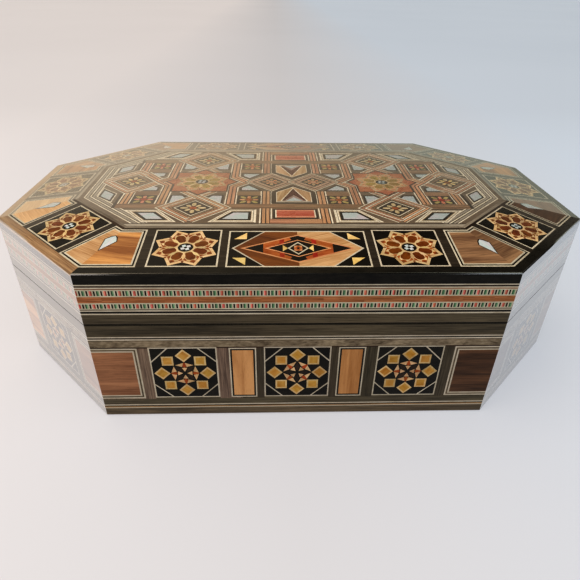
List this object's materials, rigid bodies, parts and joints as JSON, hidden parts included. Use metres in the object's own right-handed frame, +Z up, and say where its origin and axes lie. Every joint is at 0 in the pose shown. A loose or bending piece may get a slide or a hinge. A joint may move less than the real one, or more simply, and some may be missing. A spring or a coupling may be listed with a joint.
{
  "type": "inlaid wooden box",
  "caption": "Octagonal wooden box with geometric marquetry on every face, a hinged lid with a sloping border and raised panel, and a velvet lining.",
  "frame": {"origin": "middle of the underside, on the surface that the box stands on", "axes": "+X along the length, -Y towards the front, +Z up"},
  "size_m": [0.25, 0.16, 0.0727],
  "materials": {
    "board_wood": "oiled walnut, bare where two boards meet",
    "side_marquetry": "inlaid veneers under clear gloss varnish",
    "border_marquetry": "inlaid veneers under clear gloss varnish",
    "panel_marquetry": "inlaid veneers and mother-of-pearl under clear gloss varnish",
    "velvet": "short-pile velvet on card",
    "felt": "pressed felt",
    "brass": "polished, slightly tarnished"
  },
  "bodies": {
    "box": {"base_felt": "felt", "base_board": "board_wood", "body_wall_front": "board_wood", "body_wall_front_right": "board_wood", "body_wall_right": "board_wood", "body_wall_back_right": "board_wood", "body_wall_back": "board_wood", "body_wall_back_left": "board_wood", "body_wall_left": "board_wood", "body_wall_front_left": "board_wood", "body_veneer_front": "side_marquetry", "body_veneer_front_right": "side_marquetry", "body_veneer_right": "side_marquetry", "body_veneer_back_right": "side_marquetry", "body_veneer_back": "side_marquetry", "body_veneer_back_left": "side_marquetry", "body_veneer_left": "side_marquetry", "body_veneer_front_left": "side_marquetry", "floor_lining": "velvet", "wall_lining": "velvet", "hinge_leaf_body_left": "brass", "hinge_leaf_body_right": "brass", "hinge_pin_left": "brass", "hinge_pin_right": "brass", "hinge_screws_body": "brass"},
    "lid": {"lid_board": "board_wood", "lid_wall_front": "board_wood", "lid_wall_front_right": "board_wood", "lid_wall_right": "board_wood", "lid_wall_back_right": "board_wood", "lid_wall_back": "board_wood", "lid_wall_back_left": "board_wood", "lid_wall_left": "board_wood", "lid_wall_front_left": "board_wood", "lid_veneer_front": "side_marquetry", "lid_veneer_front_right": "side_marquetry", "lid_veneer_right": "side_marquetry", "lid_veneer_back_right": "side_marquetry", "lid_veneer_back": "side_marquetry", "lid_veneer_back_left": "side_marquetry", "lid_veneer_left": "side_marquetry", "lid_veneer_front_left": "side_marquetry", "lid_border_front": "border_marquetry", "lid_border_front_right": "border_marquetry", "lid_border_right": "border_marquetry", "lid_border_back_right": "border_marquetry", "lid_border_back": "border_marquetry", "lid_border_back_left": "border_marquetry", "lid_border_left": "border_marquetry", "lid_border_front_left": "border_marquetry", "lid_panel": "panel_marquetry", "lid_top_lining": "velvet", "lid_wall_lining": "velvet", "hinge_leaf_lid_left": "brass", "hinge_leaf_lid_right": "brass", "hinge_screws_lid": "brass"}
  },
  "joints": [
    {"name": "lid_hinge", "type": "hinge", "parent": "box", "child": "lid", "pos_m": [0, 0.0774, 0.04702], "axis": [-1, 0, 0], "range_deg": [0, 98]}
  ]
}
